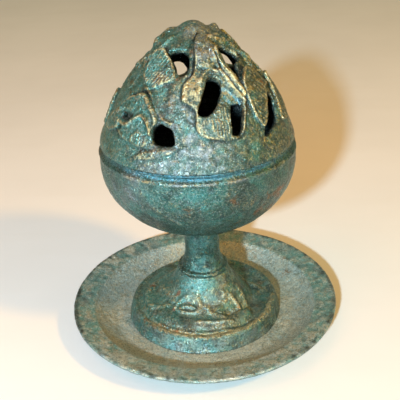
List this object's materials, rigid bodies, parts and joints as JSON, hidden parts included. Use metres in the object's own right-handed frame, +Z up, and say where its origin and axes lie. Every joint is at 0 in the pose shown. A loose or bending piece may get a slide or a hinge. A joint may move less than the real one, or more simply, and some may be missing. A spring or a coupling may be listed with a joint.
{
  "type": "hill censer",
  "caption": "Cast bronze incense burner: pierced mountain-shaped lid that lifts off a round bowl, on a stem and domed foot riveted into a shallow round dish.",
  "frame": {"origin": "on the vertical axis of the censer, where the dish's foot ring meets the table", "axes": "+Z up, -Y towards the front, where the lid's tall central peak is, +X to the right"},
  "size_m": [0.15, 0.15, 0.1706],
  "materials": {
    "lid_bronze": "corroded cast bronze, grey-green with cream and teal patches",
    "bowl_bronze": "corroded cast bronze, mottled teal and olive",
    "rivet_bronze": "darkened bronze",
    "stem_bronze": "corroded cast bronze, teal and blue",
    "foot_bronze": "corroded cast bronze, teal with tan high spots",
    "dish_bronze": "corroded cast bronze, grey-beige with a green flange"
  },
  "bodies": {
    "base": {"dish": "dish_bronze", "dish_rivets": "rivet_bronze", "foot": "foot_bronze", "stem": "stem_bronze", "bowl_rivet": "rivet_bronze", "bowl": "bowl_bronze"},
    "lid": {"lid": "lid_bronze"}
  },
  "joints": [
    {"name": "lid_lift", "type": "slide", "parent": "base", "child": "lid", "axis": [0, 0, 1], "range_m": [0, 0.09]}
  ]
}
